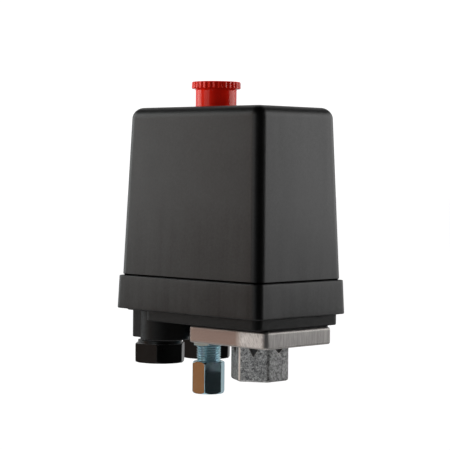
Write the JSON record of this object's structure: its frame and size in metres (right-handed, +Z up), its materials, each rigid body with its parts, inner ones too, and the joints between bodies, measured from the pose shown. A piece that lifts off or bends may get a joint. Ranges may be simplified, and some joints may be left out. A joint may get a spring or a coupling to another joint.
{
  "type": "pressure switch",
  "caption": "Compressor pressure switch: tall tapered black cover with a red on/off knob, zinc flange with hex pressure port, cable glands and a small unloader tube fitting below.",
  "frame": {"origin": "under the middle of the cover, level with the end face of the unloader nut", "axes": "+Z up through the cover, +X towards the pressure port, +Y across the width"},
  "size_m": [0.0878, 0.0564, 0.1374],
  "materials": {
    "cover_plastic": "black moulded plastic, fine satin grain",
    "base_plastic": "black moulded plastic, dull",
    "gland_plastic": "black nylon, semi-gloss",
    "red_plastic": "glossy red plastic",
    "block_plastic": "brown phenolic",
    "white_plastic": "white acetal",
    "die_cast_zinc": "raw zinc die casting, tumbled",
    "blue_zinc_plate": "blue zinc plated steel",
    "steel": "bright plated steel",
    "brass": "plain brass",
    "rubber": "nitrile rubber"
  },
  "bodies": {
    "housing": {"cover": "cover_plastic", "base": "base_plastic", "gland_nut_front": "gland_plastic", "gland_nut_rear": "gland_plastic", "terminal_block": "block_plastic", "flange": "die_cast_zinc", "unloader_body": "blue_zinc_plate", "unloader_nut": "blue_zinc_plate", "unloader_locknut": "blue_zinc_plate", "fixed_contact_1": "brass", "fixed_contact_2": "brass", "fixed_contact_3": "brass", "fixed_contact_4": "brass", "fixed_contact_5": "brass", "fixed_contact_6": "brass", "ferrule": "brass", "ground_screw": "brass", "diaphragm": "rubber", "gland_seal_front": "rubber", "gland_seal_rear": "rubber", "cover_screw": "steel", "cover_post": "steel", "mechanism_frame": "steel", "lever_pivot_pin": "steel", "terminal_screw_1": "steel", "terminal_screw_2": "steel", "terminal_screw_3": "steel", "terminal_screw_4": "steel", "terminal_screw_5": "steel", "terminal_screw_6": "steel", "flange_screw_1": "steel", "flange_screw_2": "steel", "flange_screw_3": "steel", "flange_screw_4": "steel", "block_screw_1": "steel", "block_screw_2": "steel", "block_screw_3": "steel", "gland_washer_front": "steel", "gland_washer_rear": "steel"},
    "knob": {"knob": "red_plastic", "knob_shaft": "white_plastic", "shaft_clip": "steel"},
    "lever": {"main_lever": "steel"},
    "piston": {"piston": "white_plastic"},
    "carrier": {"contact_carrier": "white_plastic", "contact_bridge_1": "brass", "contact_bridge_2": "brass", "contact_bridge_3": "brass", "contact_spring_1": "steel", "contact_spring_2": "steel", "contact_spring_3": "steel"},
    "unloader_pin": {"unloader_pin": "brass", "unloader_spring": "steel"},
    "range_screw": {"range_screw": "steel"},
    "spring_plate": {"spring_plate": "steel", "main_spring": "steel"},
    "differential_screw": {"differential_screw": "steel"},
    "differential_nut": {"differential_nut": "steel", "differential_spring": "steel"}
  },
  "joints": [
    {"name": "knob_slide", "type": "slide", "parent": "housing", "child": "knob", "axis": [0, 0, 1], "range_m": [-0.005, 0]},
    {"name": "lever_rock", "type": "hinge", "parent": "housing", "child": "lever", "pos_m": [0.002, 0, 0.0486], "axis": [0, -1, 0], "range_deg": [0, 5], "stiffness_Nm_per_rad": 0.3, "springref_deg": -5.73},
    {"name": "piston_lift", "type": "slide", "parent": "housing", "child": "piston", "axis": [0, 0, 1], "range_m": [0, 0.0015]},
    {"name": "carrier_drop", "type": "slide", "parent": "housing", "child": "carrier", "axis": [0, 0, 1], "range_m": [-0.0022, 0]},
    {"name": "unloader_press", "type": "slide", "parent": "housing", "child": "unloader_pin", "axis": [0, 0, 1], "range_m": [-0.0013, 0], "deforming": ["unloader_spring"]},
    {"name": "range_screw_turn", "type": "hinge", "parent": "housing", "child": "range_screw", "pos_m": [0.0186, 0, 0.0968], "axis": [0, 0, 1], "range_deg": [-1450, 1450]},
    {"name": "spring_plate_slide", "type": "slide", "parent": "housing", "child": "spring_plate", "axis": [0, 0, 1], "range_m": [-0.004, 0.004], "deforming": ["main_spring"]},
    {"name": "differential_screw_turn", "type": "hinge", "parent": "housing", "child": "differential_screw", "pos_m": [0.031, 0, 0.0968], "axis": [0, 0, 1], "range_deg": [-1090, 1090]},
    {"name": "differential_nut_slide", "type": "slide", "parent": "housing", "child": "differential_nut", "axis": [0, 0, 1], "range_m": [-0.0021, 0.0021], "deforming": ["differential_spring"]}
  ],
  "couplings": [
    {"joint": "piston_lift", "follows": "lever_rock", "m_per_rad": 0.016},
    {"joint": "carrier_drop", "follows": "lever_rock", "m_per_rad": -0.0245},
    {"joint": "unloader_press", "follows": "lever_rock", "m_per_rad": -0.0144},
    {"joint": "range_screw_turn", "follows": "spring_plate_slide", "rad_per_m": -6283.2},
    {"joint": "differential_screw_turn", "follows": "differential_nut_slide", "rad_per_m": -8976}
  ]
}
